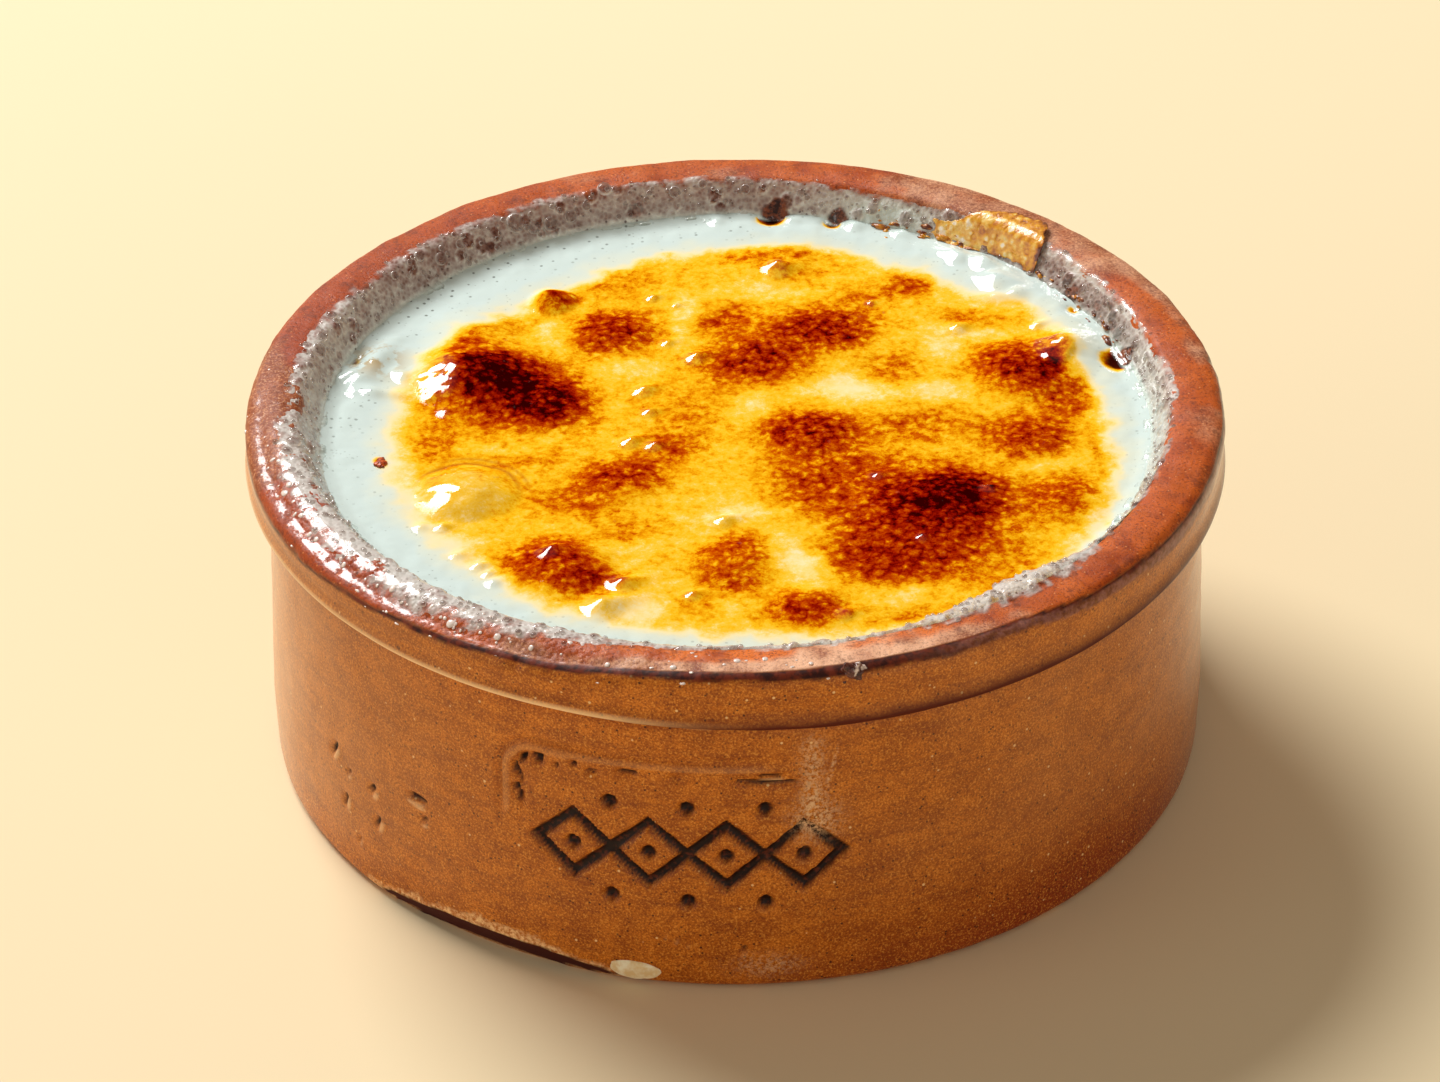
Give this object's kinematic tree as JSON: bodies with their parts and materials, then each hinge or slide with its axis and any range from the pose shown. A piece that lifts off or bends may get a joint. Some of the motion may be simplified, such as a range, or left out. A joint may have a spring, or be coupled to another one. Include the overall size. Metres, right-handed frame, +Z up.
{
  "type": "dish of om ali",
  "caption": "Baked om ali milk pudding with a browned, blistered skin, filling a low round clay ramekin with a thick collar under its rim.",
  "frame": {"origin": "middle of the dish's flat base, on the surface that it stands on", "axes": "+Z up through the open top, -Y the front of the dish where the pressed ornament is, +X to the right seen from the front"},
  "size_m": [0.12, 0.12, 0.0485],
  "materials": {
    "glazed_clay": "caramel-brown glossy glaze on coarse clay, redder and half bare on the rim",
    "baked_pudding": "glossy milk skin, golden with scorched dark red-brown patches and a pale milky ring at the edge",
    "crust": "crisp golden-brown pastry crust"
  },
  "bodies": {
    "root": {"dish": "glazed_clay", "pudding": "baked_pudding", "crust_flake": "crust"}
  },
  "joints": []
}
